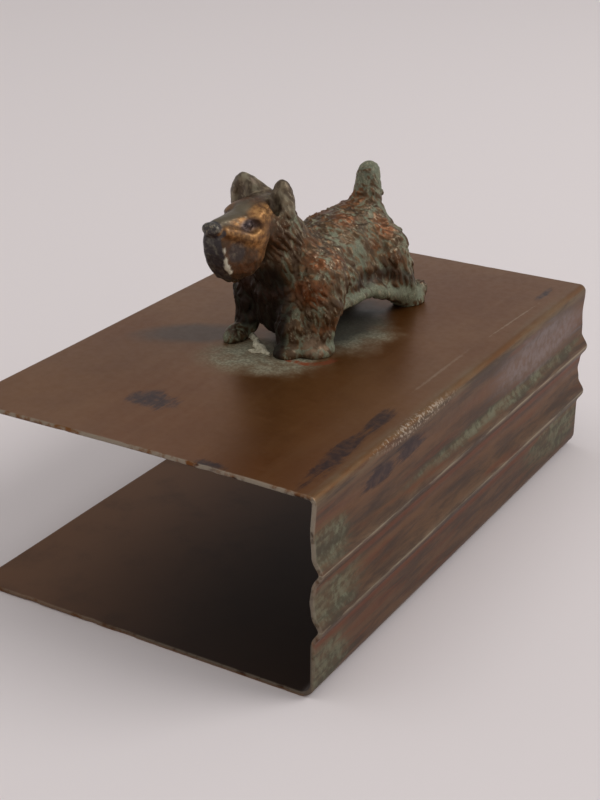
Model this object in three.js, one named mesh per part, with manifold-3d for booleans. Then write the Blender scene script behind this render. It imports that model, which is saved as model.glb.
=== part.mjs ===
// Desk blotter-slip holder: a channel folded from one sheet of bronze, open on three sides, with a cast
// Scottish terrier standing on the upper leaf as its handle. Two round-head screws with washers come up
// through the upper leaf into the casting's legs.
//
// Frame, in millimetres: +Z up, +Y along the spine towards the dog's tail, +X towards the spine.
// The origin is at the middle of the underside of the whole object's bounding box.
import * as THREE from "three";
import { mergeVertices } from "three/addons/utils/BufferGeometryUtils.js";
import Module from "manifold-3d";

const wasm = await Module();
wasm.setup();

// ---------------------------------------------------------------- driving dimensions
const LENGTH = 127; // along the spine
const LEAF_WIDTH = 79.6; // free edge to the flat of the spine
const HEIGHT = 41.4; // underside of the lower leaf to the top of the upper leaf
const SHEET = 0.9; // gauge of the sheet

const BEAD_HEIGHT = 1.5; // how far each pressed bead stands out of the spine
const BEAD_WIDTH = 6.6;
const BEAD_LEVELS = [26.2, 14.6]; // heights of the two bead crests
const SCOOP_DEPTH = 0.3; // the spine's flats are hollowed this much between beads and folds
const UPPER_FOLD_RADIUS = 1.6; // outside radii of the two folds
const LOWER_FOLD_RADIUS = 3.2;
const UPPER_CORNER_RADIUS = 1.2; // free corners of the leaves, seen from above
const LOWER_CORNER_RADIUS = 3.0;
const SPINE_STEPS = 44;
const FOLD_STEPS = 6;

const FREE_EDGE_X = -(LEAF_WIDTH + BEAD_HEIGHT) / 2;
const SPINE_X = FREE_EDGE_X + LEAF_WIDTH;

// The dog stands near the leaf's centre line, its nose turned a little towards the free edge.
const DOG_OFFSET = -1.9; // from the leaf's centre line
const DOG_X = FREE_EDGE_X + LEAF_WIDTH / 2 + DOG_OFFSET;
const DOG_HEADING = THREE.MathUtils.degToRad(-4.5);

// The two fixings in the dog's own frame: up the left front leg and the right rear leg.
const FIXINGS = {
  front: { x: 7.4, y: -4.6 },
  rear: { x: -8.0, y: 28.8 },
};
const SHANK_RADIUS = 1.42;
const HOLE_RADIUS = 1.75;
const BORE_RADIUS = 1.6;
const BORE_DEPTH = 6.4;
const SHANK_IN_LEG = 5.6;
const HEAD_RADIUS = 2.7;
const HEAD_HEIGHT = 1.9;
const SLOT_WIDTH = 0.7;
const SLOT_DEPTH = 0.9;
const WASHER_RADIUS = 3.6;
const WASHER_THICKNESS = 0.6;
const WASHER_CLEARANCE = 0.2; // between the shank and the washer's hole
const TIP_CHAMFER = 0.4;

const ROUND_STEPS = 28; // facets round a hole, a screw or a washer
const EGG_STEPS = 18; // facets round an ellipsoid or a limb of the dog
const EGG_RINGS = 12;
const LIMB_END_STEPS = 5;
const SCREW_HEAD_STEPS = 6;
const PAST = 1; // how far a cutting solid reaches past what it cuts
const SAME_POINT = 1e-4; // points closer than this are one point

// ---------------------------------------------------------------- solids
// A closed three.js geometry as a manifold-3d solid.
function solid(geometry) {
  const bare = geometry.clone();
  bare.deleteAttribute("normal");
  bare.deleteAttribute("uv");
  const merged = mergeVertices(bare, SAME_POINT);
  const kept = [];
  for (let i = 0; i < merged.index.count; i += 3) {
    const [a, b, c] = [0, 1, 2].map((k) => merged.index.getX(i + k));
    if (a !== b && b !== c && c !== a) kept.push(a, b, c);
  }
  return new wasm.Manifold(
    new wasm.Mesh({
      numProp: 3,
      vertProperties: new Float32Array(merged.attributes.position.array),
      triVerts: new Uint32Array(kept),
    }),
  );
}

const union = (solids) => solids.reduce((all, next) => all.add(next));

// A manifold-3d solid as a named three.js mesh.
function meshOf(made, name, material) {
  const data = made.getMesh();
  const geometry = new THREE.BufferGeometry();
  geometry.setAttribute("position", new THREE.BufferAttribute(data.vertProperties, 3));
  geometry.setIndex(new THREE.BufferAttribute(data.triVerts, 1));
  geometry.computeVertexNormals();
  const mesh = new THREE.Mesh(geometry, material);
  mesh.name = name;
  return mesh;
}

const box = (width, depth, height, x, y, z) =>
  new THREE.BoxGeometry(width, depth, height).translate(x, y, z);

// A shape drawn in the XZ plane, swept along Y and centred on y = 0.
function sweptAlongY(shape, depth) {
  return new THREE.ExtrudeGeometry(shape, { depth, bevelEnabled: false })
    .rotateX(Math.PI / 2)
    .translate(0, depth / 2, 0);
}

// ---------------------------------------------------------------- cover
// How far the spine's outer face stands from its flat at a given height.
function spineRelief(z) {
  const half = BEAD_WIDTH / 2;
  for (const level of BEAD_LEVELS) {
    const share = Math.abs(z - level) / half;
    if (share < 1) return BEAD_HEIGHT * Math.cos((share * Math.PI) / 2) ** 2;
  }
  const flats = [
    [BEAD_LEVELS[1] + half, BEAD_LEVELS[0] - half],
    [BEAD_LEVELS[0] + half, HEIGHT - UPPER_FOLD_RADIUS],
  ];
  for (const [low, high] of flats) {
    if (z > low && z < high) return -SCOOP_DEPTH * Math.sin(((z - low) / (high - low)) * Math.PI) ** 2;
  }
  return 0;
}

// Points of a quarter circle from one angle to another, in degrees.
function fold(centreX, centreZ, radius, from, to) {
  return Array.from({ length: FOLD_STEPS + 1 }, (_, i) => {
    const angle = THREE.MathUtils.degToRad(from + ((to - from) * i) / FOLD_STEPS);
    return new THREE.Vector2(centreX + radius * Math.cos(angle), centreZ + radius * Math.sin(angle));
  });
}

// The cover's outside line, from the upper leaf's free edge round the spine to the lower leaf's.
function outerLine() {
  const points = [new THREE.Vector2(FREE_EDGE_X, HEIGHT)];
  points.push(...fold(SPINE_X - UPPER_FOLD_RADIUS, HEIGHT - UPPER_FOLD_RADIUS, UPPER_FOLD_RADIUS, 90, 0));
  const top = HEIGHT - UPPER_FOLD_RADIUS;
  for (let i = 1; i < SPINE_STEPS; i++) {
    const z = top + ((LOWER_FOLD_RADIUS - top) * i) / SPINE_STEPS;
    points.push(new THREE.Vector2(SPINE_X + spineRelief(z), z));
  }
  points.push(...fold(SPINE_X - LOWER_FOLD_RADIUS, LOWER_FOLD_RADIUS, LOWER_FOLD_RADIUS, 0, -90));
  points.push(new THREE.Vector2(FREE_EDGE_X, 0));
  return points;
}

// The same line moved inwards by the sheet's thickness.
function innerLine(outer) {
  return outer.map((point, i) => {
    const before = outer[Math.max(i - 1, 0)];
    const after = outer[Math.min(i + 1, outer.length - 1)];
    const along = after.clone().sub(before).normalize();
    return new THREE.Vector2(point.x + along.y * SHEET, point.y - along.x * SHEET);
  });
}

// The sliver outside a rounded corner: a square with a quarter disc taken off, standing the full height.
function cornerSliver(x, y, radius, lowZ, highZ) {
  const [sx, sy] = [Math.sign(x), Math.sign(y)];
  const height = highZ - lowZ;
  const middle = (highZ + lowZ) / 2;
  const square = box(radius + PAST, radius + PAST, height,
    x - (sx * (radius - PAST)) / 2, y - (sy * (radius - PAST)) / 2, middle);
  const disc = new THREE.CylinderGeometry(radius, radius, height + 2 * PAST, ROUND_STEPS)
    .rotateX(Math.PI / 2)
    .translate(x - sx * radius, y - sy * radius, middle);
  return solid(square).subtract(solid(disc));
}

function cover() {
  const outer = outerLine();
  const outline = new THREE.Shape([...outer, ...innerLine(outer).reverse()]);
  let sheet = solid(sweptAlongY(outline, LENGTH));
  const middle = HEIGHT / 2;
  for (const y of [-LENGTH / 2, LENGTH / 2]) {
    sheet = sheet.subtract(cornerSliver(FREE_EDGE_X, y, UPPER_CORNER_RADIUS, middle, HEIGHT + PAST));
    sheet = sheet.subtract(cornerSliver(FREE_EDGE_X, y, LOWER_CORNER_RADIUS, -PAST, middle));
  }
  for (const { x, y } of Object.values(FIXINGS)) {
    const hole = new THREE.CylinderGeometry(HOLE_RADIUS, HOLE_RADIUS, 4 * SHEET, ROUND_STEPS)
      .rotateX(Math.PI / 2)
      .translate(x, y, HEIGHT)
      .rotateZ(DOG_HEADING)
      .translate(DOG_X, 0, 0);
    sheet = sheet.subtract(solid(hole));
  }
  return sheet;
}

// ---------------------------------------------------------------- dog
// The dog is drawn on its own middle line, with z = 0 at the soles and its nose towards -Y. Its left is +X.
const SIDES = [-1, 1];
const RIGHT = -1;

// An ellipsoid at a centre with three radii, pitched about X, rolled about Y, then turned about Z, in degrees.
function egg([x, y, z], [rx, ry, rz], { yaw = 0, pitch = 0, roll = 0 } = {}) {
  const turn = THREE.MathUtils.degToRad;
  return new THREE.SphereGeometry(1, EGG_STEPS, EGG_RINGS)
    .rotateX(Math.PI / 2)
    .scale(rx, ry, rz)
    .rotateY(turn(roll))
    .rotateX(turn(pitch))
    .rotateZ(turn(yaw))
    .translate(x, y, z);
}

// A limb between two points: a ball at each end, and the cone that touches both.
function limb(from, to, startRadius, endRadius) {
  const start = new THREE.Vector3(...from);
  const along = new THREE.Vector3(...to).sub(start);
  const length = along.length();
  const tilt = Math.asin((startRadius - endRadius) / length);
  const profile = [];
  for (let i = 0; i <= LIMB_END_STEPS; i++) {
    const angle = -Math.PI / 2 + ((tilt + Math.PI / 2) * i) / LIMB_END_STEPS;
    profile.push(new THREE.Vector2(startRadius * Math.cos(angle), startRadius * Math.sin(angle)));
  }
  for (let i = 0; i <= LIMB_END_STEPS; i++) {
    const angle = tilt + ((Math.PI / 2 - tilt) * i) / LIMB_END_STEPS;
    profile.push(new THREE.Vector2(endRadius * Math.cos(angle), length + endRadius * Math.sin(angle)));
  }
  profile[0].x = 0;
  profile[profile.length - 1].x = 0;
  const turn = new THREE.Quaternion().setFromUnitVectors(new THREE.Vector3(0, 1, 0), along.normalize());
  return new THREE.LatheGeometry(profile, EGG_STEPS).applyQuaternion(turn).translate(...from);
}

const trunk = () => [
  egg([0, 1.5, 14.2], [9.8, 10.2, 9.2]), // chest
  egg([0, 13, 15.3], [9, 13.8, 9.3]), // barrel
  egg([0, 23, 14.8], [8.4, 9.8, 10.1]), // rump
  egg([0, -5, 13.5], [6.8, 5.2, 8.8]), // breast
  egg([-1.5, -3.6, 7.6], [6.2, 4.6, 6.6]), // long hair between the front legs
  limb([0, -1.2, 16.2], [0, -8, 25.4], 8.2, 6.1), // neck
  limb([0, 26.4, 20], [0, 27.4, 30], 4.5, 2.7), // tail
];

// The coat that hangs along each flank, with a rolled lower edge that runs down into the rear foot.
const skirt = (side) => [
  egg([side * 7, 9, 11.7], [3.6, 12, 4.7]),
  egg([side * 7.3, 22, 8.7], [3.2, 10, 4.1], { pitch: -14 }),
  limb([side * 9.6, -1, 8.2], [side * 9.2, 14, 8.2], 1.5, 1.6),
  limb([side * 9.2, 14, 8.2], [side * 9.4, 28, 3.5], 1.6, 2.0),
];

// The left leg is straight and stands on two broad toes; the right one is slimmer and set a little forward.
function frontLeg(side) {
  const shoulder = egg([side * 7.9, -2.8, 15], [4.5, 6.2, 6.5], { roll: side * -12 });
  const feather = egg([side * 9.3, -3.6, 9.2], [3.9, 4.5, 5], { roll: side * 12 });
  if (side === RIGHT) {
    const leg = limb([-8.2, -1, 15], [-9.4, -5.4, 2.5], 4.8, 2.9);
    return [shoulder, feather, leg, egg([-9.6, -8.6, 0.9], [2.5, 4.3, 2.6], { yaw: 6 })];
  }
  const leg = limb([7.4, -1, 15], [8, -5, 2.5], 5.2, 4.1);
  const inner = egg([4.4, -6.8, 4.6], [4.2, 4.7, 7.1]);
  const toes = [egg([8.2, -5.6, 0.8], [4.8, 4.7, 2.9]), egg([5, -9.6, 0.6], [3.2, 4, 2.7], { yaw: -8 })];
  return [shoulder, feather, leg, inner, ...toes];
}

function rearLeg(side) {
  const foot = side === RIGHT ? egg([-8.6, 31.6, 0.5], [3.3, 4.8, 3]) : egg([8.6, 32.6, 0.5], [3.3, 4, 3.2]);
  return [limb([side * 6, 24, 14], [side * 8.2, 29.5, 3.5], 6.2, 3.7), foot];
}

const head = () => [
  egg([0, -11.6, 28.8], [6, 6.6, 6]), // skull
  egg([0, -15.6, 30.8], [4.7, 4.8, 3.6]), // forehead
  egg([0, -22.2, 29.7], [4.1, 7.1, 3.2]), // upper muzzle
  limb([0, -24.8, 28], [0, -22.8, 23.2], 4.2, 3.8), // beard
  egg([0, -20.6, 24.4], [4.9, 3.8, 4.5]), // cheeks
  egg([0, -28.8, 31.2], [2, 1.3, 1.4]), // nose
  ...SIDES.map((side) => egg([side * 2.9, -18.2, 31.9], [1.8, 2.4, 1.2], { pitch: 20 })), // brows
  egg([4.1, -10.7, 32.2], [2.6, 2, 5.5], { yaw: 8, roll: -3 }), // left ear
  egg([-5.8, -10.8, 32.7], [3.3, 1.9, 5], { yaw: -8, roll: 8 }), // right ear
];

// The one-piece casting, with flat soles and a blind bore up each leg that takes a screw.
function dog() {
  const sides = SIDES.flatMap((side) => [...skirt(side), ...frontLeg(side), ...rearLeg(side)]);
  let casting = union([...trunk(), ...sides, ...head()].map(solid));
  const depth = 20; // a block under the soles, wider and longer than the dog
  casting = casting.subtract(solid(box(80, 120, depth, 0, 0, -depth / 2)));
  for (const { x, y } of Object.values(FIXINGS)) {
    const bore = new THREE.CylinderGeometry(BORE_RADIUS, BORE_RADIUS, 2 * BORE_DEPTH, ROUND_STEPS)
      .rotateX(Math.PI / 2)
      .translate(x, y, 0);
    casting = casting.subtract(solid(bore));
  }
  return casting;
}

// ---------------------------------------------------------------- fixings
// A slotted round-head screw standing head down, with z = 0 under its head's bearing face.
function screw() {
  const length = WASHER_THICKNESS + SHEET + SHANK_IN_LEG;
  const profile = [new THREE.Vector2(0, -HEAD_HEIGHT)];
  for (let i = 1; i <= SCREW_HEAD_STEPS; i++) {
    const angle = (i / SCREW_HEAD_STEPS) * (Math.PI / 2);
    profile.push(new THREE.Vector2(HEAD_RADIUS * Math.sin(angle), -HEAD_HEIGHT * Math.cos(angle) ** 0.8));
  }
  profile[profile.length - 1].y = 0;
  profile.push(new THREE.Vector2(SHANK_RADIUS, 0));
  profile.push(new THREE.Vector2(SHANK_RADIUS, length - TIP_CHAMFER));
  profile.push(new THREE.Vector2(SHANK_RADIUS - TIP_CHAMFER, length));
  profile.push(new THREE.Vector2(0, length));
  const turned = new THREE.LatheGeometry(profile, ROUND_STEPS).rotateX(Math.PI / 2);
  const slot = box(2 * (HEAD_RADIUS + PAST), SLOT_WIDTH, 2 * SLOT_DEPTH, 0, 0, -HEAD_HEIGHT);
  return solid(turned).subtract(solid(slot));
}

function washer() {
  const inner = SHANK_RADIUS + WASHER_CLEARANCE;
  const ring = [
    new THREE.Vector2(inner, 0),
    new THREE.Vector2(WASHER_RADIUS, 0),
    new THREE.Vector2(WASHER_RADIUS, WASHER_THICKNESS),
    new THREE.Vector2(inner, WASHER_THICKNESS),
    new THREE.Vector2(inner, 0),
  ];
  return solid(new THREE.LatheGeometry(ring, ROUND_STEPS).rotateX(Math.PI / 2));
}

// ---------------------------------------------------------------- materials and assembly
const bronzeSheet = new THREE.MeshStandardMaterial({ color: 0x6b4a32, roughness: 0.42, metalness: 0.85 });
const castBronze = new THREE.MeshStandardMaterial({ color: 0x5a4632, roughness: 0.55, metalness: 0.7 });
const brass = new THREE.MeshStandardMaterial({ color: 0x8a6a3a, roughness: 0.45, metalness: 0.9 });

const holder = new THREE.Group();
holder.add(meshOf(cover(), "folded_cover", bronzeSheet));

// The dog and its fixings share one group, so the holes, bores and screws turn with its heading.
const figure = new THREE.Group();
figure.position.set(DOG_X, 0, HEIGHT);
figure.rotation.z = DOG_HEADING;
figure.add(meshOf(dog(), "terrier_casting", castBronze));
for (const [place, { x, y }] of Object.entries(FIXINGS)) {
  const fixing = new THREE.Group();
  fixing.position.set(x, y, -SHEET - WASHER_THICKNESS);
  fixing.add(meshOf(washer(), `${place}_washer`, brass));
  fixing.add(meshOf(screw(), `${place}_screw`, brass));
  figure.add(fixing);
}
holder.add(figure);

export default holder;
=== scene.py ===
"""A desk blotter-slip holder: a channel folded from bronze sheet with a cast Scottish terrier on it.

Lengths are in millimetres until a mesh is made. +Y runs along the spine, +X towards it, +Z up.
"""

import math

import bpy
import numpy as np
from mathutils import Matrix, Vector


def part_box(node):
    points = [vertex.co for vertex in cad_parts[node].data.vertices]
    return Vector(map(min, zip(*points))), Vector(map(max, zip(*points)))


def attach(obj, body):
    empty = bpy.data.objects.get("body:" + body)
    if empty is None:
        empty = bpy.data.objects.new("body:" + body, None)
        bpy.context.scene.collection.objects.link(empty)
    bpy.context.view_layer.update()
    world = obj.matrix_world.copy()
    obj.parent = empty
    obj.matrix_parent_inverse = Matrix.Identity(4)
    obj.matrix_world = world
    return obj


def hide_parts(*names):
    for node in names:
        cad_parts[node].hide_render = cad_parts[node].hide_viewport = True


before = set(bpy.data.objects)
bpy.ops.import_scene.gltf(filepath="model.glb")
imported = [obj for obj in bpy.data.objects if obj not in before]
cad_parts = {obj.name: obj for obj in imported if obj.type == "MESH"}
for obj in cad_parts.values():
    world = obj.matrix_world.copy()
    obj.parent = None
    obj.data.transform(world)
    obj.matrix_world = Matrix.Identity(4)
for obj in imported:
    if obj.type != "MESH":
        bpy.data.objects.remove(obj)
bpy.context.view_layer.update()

MM = 0.001


def box_mm(node):
    """A CAD node's lowest and highest corners, in millimetres."""
    low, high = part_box(node)
    return np.array(low) / MM, np.array(high) / MM


def centre_mm(node):
    low, high = box_mm(node)
    return (low + high) / 2


# ------------------------------------------------------------------ numbers shared by several pieces
COVER_LOW, COVER_HIGH = box_mm("folded_cover")
TOP_Z = COVER_HIGH[2]
HALF_LENGTH = COVER_HIGH[1]
FREE_X = COVER_LOW[0]
BEAD_HEIGHT = 1.5
SPINE_X = COVER_HIGH[0] - BEAD_HEIGHT
SHEET = 0.9

# The screws in the dog's own frame, which also give the dog's place and heading.
FRONT_FIXING = np.array([7.4, -4.6])
REAR_FIXING = np.array([-8.0, 28.8])
HOLE_RADIUS = 1.75
HOLE_SIDES = 48
BORE_RADIUS = 1.6
BORE_DEPTH = 6.4


def dog_frame():
    """The dog's origin and its turn about Z, from where the two screws are."""
    front = centre_mm("front_screw")[:2]
    rear = centre_mm("rear_screw")[:2]
    placed, own = rear - front, REAR_FIXING - FRONT_FIXING
    angle = math.atan2(placed[1], placed[0]) - math.atan2(own[1], own[0])
    turn = np.array([[math.cos(angle), -math.sin(angle)], [math.sin(angle), math.cos(angle)]])
    return front - turn @ FRONT_FIXING, turn


DOG_ORIGIN, DOG_TURN = dog_frame()


# ------------------------------------------------------------------ small numeric tools
def smooth(low, high, value):
    """0 below low, 1 above high, and a smooth step between; low may be above high."""
    share = np.clip((value - low) / (high - low), 0, 1)
    return share * share * (3 - 2 * share)


def lattice(ix, iy, iz, seed):
    """A repeatable random number from 0 to 1 for each whole-number point."""
    mixed = (ix * 374761393 + iy * 668265263 + iz * 2147483647 + seed * 974634777) & 0xFFFFFFFF
    mixed = ((mixed ^ (mixed >> 13)) * 1274126177) & 0xFFFFFFFF
    mixed = ((mixed ^ (mixed >> 16)) * 2246822519) & 0xFFFFFFFF
    return ((mixed ^ (mixed >> 15)) & 0xFFFFFF) / float(0xFFFFFF)


def noise(x, y, z, seed):
    """Smooth noise from 0 to 1 that varies over a distance of about 1."""
    x, y, z = np.broadcast_arrays(x, y, z)
    cell = [np.floor(v) for v in (x, y, z)]
    whole = [c.astype(np.int64) for c in cell]
    part = [v - c for v, c in zip((x, y, z), cell)]
    part = [t * t * t * (t * (6 * t - 15) + 10) for t in part]
    total = 0
    for corner in np.ndindex(2, 2, 2):
        weight = 1
        for step, share in zip(corner, part):
            weight = weight * (share if step else 1 - share)
        total = total + weight * lattice(*[w + s for w, s in zip(whole, corner)], seed)
    return total


def ridged(value):
    """Turns noise into narrow crests: 1 along its middle level, falling to 0."""
    return 1 - np.abs(2 * value - 1)


def cells(x, y, z, seed):
    """Scattered cells of size 1: the distance to the next cell's border, and the rise in z to the middle."""
    base = [np.floor(v).astype(np.int64) for v in (x, y, z)]
    nearest = np.full(x.shape, 9.0)
    second = np.full(x.shape, 9.0)
    drop = np.zeros(x.shape)
    for corner in np.ndindex(3, 3, 3):
        cell = [b + c - 1 for b, c in zip(base, corner)]
        middle = [c + lattice(*cell, seed + k) for k, c in enumerate(cell)]
        away = np.sqrt(sum((v - m) ** 2 for v, m in zip((x, y, z), middle)))
        closer = away < nearest
        second = np.where(closer, nearest, np.minimum(second, away))
        drop = np.where(closer, middle[2] - z, drop)
        nearest = np.where(closer, away, nearest)
    return second - nearest, drop


# ------------------------------------------------------------------ meshes
def make_piece(name, points, faces, attributes=None):
    """A smooth-shaded mesh object from points in millimetres, with float attributes on its points."""
    mesh = bpy.data.meshes.new(name)
    faces = np.asarray(faces)
    mesh.vertices.add(len(points))
    mesh.vertices.foreach_set("co", (np.asarray(points) * MM).astype(np.float32).ravel())
    corners = faces.shape[1]
    mesh.loops.add(faces.size)
    mesh.loops.foreach_set("vertex_index", faces.astype(np.int32).ravel())
    mesh.polygons.add(len(faces))
    mesh.polygons.foreach_set("loop_start", np.arange(0, faces.size, corners, dtype=np.int32))
    mesh.update(calc_edges=True)
    mesh.polygons.foreach_set("use_smooth", np.full(len(faces), True))
    for label, values in (attributes or {}).items():
        layer = mesh.attributes.new(label, "FLOAT", "POINT")
        layer.data.foreach_set("value", np.asarray(values, np.float32).ravel())
    mesh.validate()
    piece = bpy.data.objects.new(name, mesh)
    bpy.context.scene.collection.objects.link(piece)
    return piece


def apply_modifiers(piece):
    """Swaps a piece's mesh for the one that its modifiers make."""
    graph = bpy.context.evaluated_depsgraph_get()
    made = bpy.data.meshes.new_from_object(piece.evaluated_get(graph))
    piece.modifiers.clear()
    piece.data = made


def cut(piece, cutters):
    """Takes each cutter out of the piece, and removes the cutters."""
    for cutter in cutters:
        step = piece.modifiers.new("cut", "BOOLEAN")
        step.operation = "DIFFERENCE"
        step.solver = "EXACT"
        step.object = cutter
    apply_modifiers(piece)
    for cutter in cutters:
        bpy.data.objects.remove(cutter)


def grid_faces(rows, columns, wrap=False):
    """Quads over a grid of points stored row by row; wrap joins the last column to the first."""
    r = np.arange(rows - 1)[:, None]
    c = np.arange(columns if wrap else columns - 1)[None, :]
    after = (c + 1) % columns
    quads = [r * columns + c, r * columns + after, (r + 1) * columns + after, (r + 1) * columns + c]
    return np.stack(np.broadcast_arrays(*quads), -1).reshape(-1, 4)


# ------------------------------------------------------------------ the folded cover
BEAD_WIDTH = 6.6
BEAD_LEVELS = (26.2, 14.6)
SCOOP_DEPTH = 0.3
UPPER_FOLD_RADIUS = 1.6
LOWER_FOLD_RADIUS = 3.2
UPPER_CORNER_RADIUS = 1.2
LOWER_CORNER_RADIUS = 3.0
LEAF_STEP = 1.0
SPINE_STEP = 0.45
EDGE_ROUND = 0.24  # how far in from a cut edge the sheet's rounded corner reaches
EDGE_FLAT = 0.45  # the share of the thickness that is left square at a cut edge
EDGE_LIFT = 0.32  # how far the upper leaf's near edge bows up
UPPER_RIPPLE = 0.16
LOWER_RIPPLE = 0.2
NICK_DEPTH = 0.22


def spine_relief(z):
    """How far the spine's outer face stands out from its flat."""
    out = np.zeros_like(z)
    half = BEAD_WIDTH / 2
    for level in BEAD_LEVELS:
        share = np.clip(np.abs(z - level) / half, 0, 1)
        out += BEAD_HEIGHT * np.cos(share * math.pi / 2) ** 2
    flats = (
        (BEAD_LEVELS[1] + half, BEAD_LEVELS[0] - half),
        (BEAD_LEVELS[0] + half, TOP_Z - UPPER_FOLD_RADIUS),
    )
    for low, high in flats:
        share = np.clip((z - low) / (high - low), 0, 1)
        out -= SCOOP_DEPTH * np.sin(share * math.pi) ** 2
    return out


def edge_steps(length, step):
    """Places along a length: closer at both ends, so that the cut edges can be round."""
    ends = np.array([0, 0.05, 0.13, EDGE_ROUND, 0.5])
    middle = np.linspace(1.0, length - 1.0, int(round((length - 2) / step)) + 1)
    return np.concatenate([ends, middle, (length - ends)[::-1]])


def cover_outline():
    """Points of the cover's outer face from the upper free edge, round the spine, to the lower one."""
    upper_run = SPINE_X - UPPER_FOLD_RADIUS - FREE_X
    lower_run = SPINE_X - LOWER_FOLD_RADIUS - FREE_X
    upper = edge_steps(2 * upper_run, LEAF_STEP)
    upper = upper[upper < upper_run]
    lower = edge_steps(2 * lower_run, LEAF_STEP)
    lower = lower[lower < lower_run][::-1]
    points = [np.stack([FREE_X + upper, np.full(len(upper), TOP_Z)], 1)]

    def fold(x, z, radius, start, end, steps):
        angle = np.radians(np.linspace(start, end, steps + 1))
        return np.stack([x + radius * np.cos(angle), z + radius * np.sin(angle)], 1)

    points.append(fold(SPINE_X - UPPER_FOLD_RADIUS, TOP_Z - UPPER_FOLD_RADIUS, UPPER_FOLD_RADIUS, 90, 0, 9))
    z = np.linspace(TOP_Z - UPPER_FOLD_RADIUS, LOWER_FOLD_RADIUS, int((TOP_Z - 5) / SPINE_STEP))[1:-1]
    points.append(np.stack([SPINE_X + spine_relief(z), z], 1))
    points.append(fold(SPINE_X - LOWER_FOLD_RADIUS, LOWER_FOLD_RADIUS, LOWER_FOLD_RADIUS, 0, -90, 11))
    points.append(np.stack([FREE_X + lower, np.zeros(len(lower))], 1))
    return np.concatenate(points)


def inward(outline):
    """Unit vectors that point from the outer face into the sheet."""
    along = np.gradient(outline, axis=0)
    along /= np.linalg.norm(along, axis=1, keepdims=True)
    return np.stack([along[:, 1], -along[:, 0]], 1)


def round_corner(x, y, radius):
    """Moves the points of a leaf's two free corners from a square onto a quarter circle."""
    across = np.maximum(FREE_X + radius - x, 0)
    beyond = np.abs(y) - (HALF_LENGTH - radius)
    lengthwise = np.maximum(beyond, 0)
    square = np.maximum(across, lengthwise)
    reach = np.hypot(across, lengthwise)
    scale = np.where(reach > 0, square / np.maximum(reach, 1e-9), 1)
    inside = (across > 0) & (lengthwise > 0)
    new_x = np.where(inside, FREE_X + radius - across * scale, x)
    new_y = np.where(inside, np.sign(y) * (HALF_LENGTH - radius + lengthwise * scale), y)
    return new_x, new_y


def cover_mesh():
    """The sheet as an outer and an inner skin joined round the cut edges, a little uneven by hand."""
    outline = cover_outline()
    into = inward(outline)
    run = np.concatenate([[0], np.cumsum(np.linalg.norm(np.diff(outline, axis=0), axis=1))])
    y = edge_steps(2 * HALF_LENGTH, LEAF_STEP) - HALF_LENGTH
    rows, columns = len(outline), len(y)

    x = np.repeat(outline[:, :1], columns, 1)
    z = np.repeat(outline[:, 1:], columns, 1)
    yy = np.repeat(y[None, :], rows, 0)
    leaf = np.where(z > TOP_Z - 0.01, 1, np.where(z < 0.01, -1, 0))
    for side, radius in ((1, UPPER_CORNER_RADIUS), (-1, LOWER_CORNER_RADIUS)):
        moved_x, moved_y = round_corner(x, yy, radius)
        x = np.where(leaf == side, moved_x, x)
        yy = np.where(leaf == side, moved_y, yy)

    from_edge = np.minimum(
        np.minimum(run, run[-1] - run)[:, None],
        np.minimum(y + HALF_LENGTH, HALF_LENGTH - y)[None, :],
    )
    rounding = np.sqrt(np.clip(1 - (1 - np.clip(from_edge / EDGE_ROUND, 0, 1)) ** 2, 0, 1))
    half = SHEET / 2 * (EDGE_FLAT + (1 - EDGE_FLAT) * rounding)

    # The leaves were never quite flat: the near edge bows up a little and the sheet ripples.
    lift = EDGE_LIFT * (1 - (x / 42) ** 2) * np.exp(-(yy + HALF_LENGTH) / 9.0)
    ripple = UPPER_RIPPLE * (noise(x / 23, yy / 27, 0, 31) - 0.5)
    away_from_dog = smooth(13, 24, np.hypot(x + 1.5, np.maximum(np.abs(yy - 12) - 24, 0)))
    near_spine = smooth(SPINE_X - 2, SPINE_X - 14, x)
    shift_z = np.where(leaf == 1, (lift + ripple * away_from_dog) * near_spine, 0)
    lower_ripple = LOWER_RIPPLE * noise(x / 19, yy / 24, 0, 32) * smooth(20, -40, x)
    shift_z = np.where(leaf == -1, lower_ripple * near_spine, shift_z)

    # Small nicks in the cut edges.
    nick = NICK_DEPTH * smooth(0.66, 0.95, noise(x / 1.7, yy / 1.7, z / 3, 33)) * smooth(0.6, 0.0, from_edge)
    yy = yy - np.sign(yy) * nick * (np.abs(yy) > HALF_LENGTH - 1)

    middle_x = x + into[:, :1] * SHEET / 2
    middle_z = z + into[:, 1:] * SHEET / 2 + shift_z
    skins = []
    for sign in (-1, 1):
        skin = np.stack([middle_x + sign * into[:, :1] * half, yy, middle_z + sign * into[:, 1:] * half], -1)
        skins.append(skin.reshape(-1, 3))
    points = np.concatenate(skins)
    count = rows * columns

    outer = grid_faces(rows, columns)
    faces = [outer[:, ::-1], outer + count]
    rim = np.concatenate([
        np.arange(columns - 1),
        np.arange(rows - 1) * columns + columns - 1,
        (rows - 1) * columns + np.arange(columns - 1, 0, -1),
        np.arange(rows - 1, 0, -1) * columns,
    ])
    after = np.roll(rim, -1)
    faces.append(np.stack([rim, after, after + count, rim + count], 1))
    worn = smooth(0.5, 0.0, from_edge).ravel()
    return points, np.concatenate(faces), np.concatenate([worn, worn])


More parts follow.
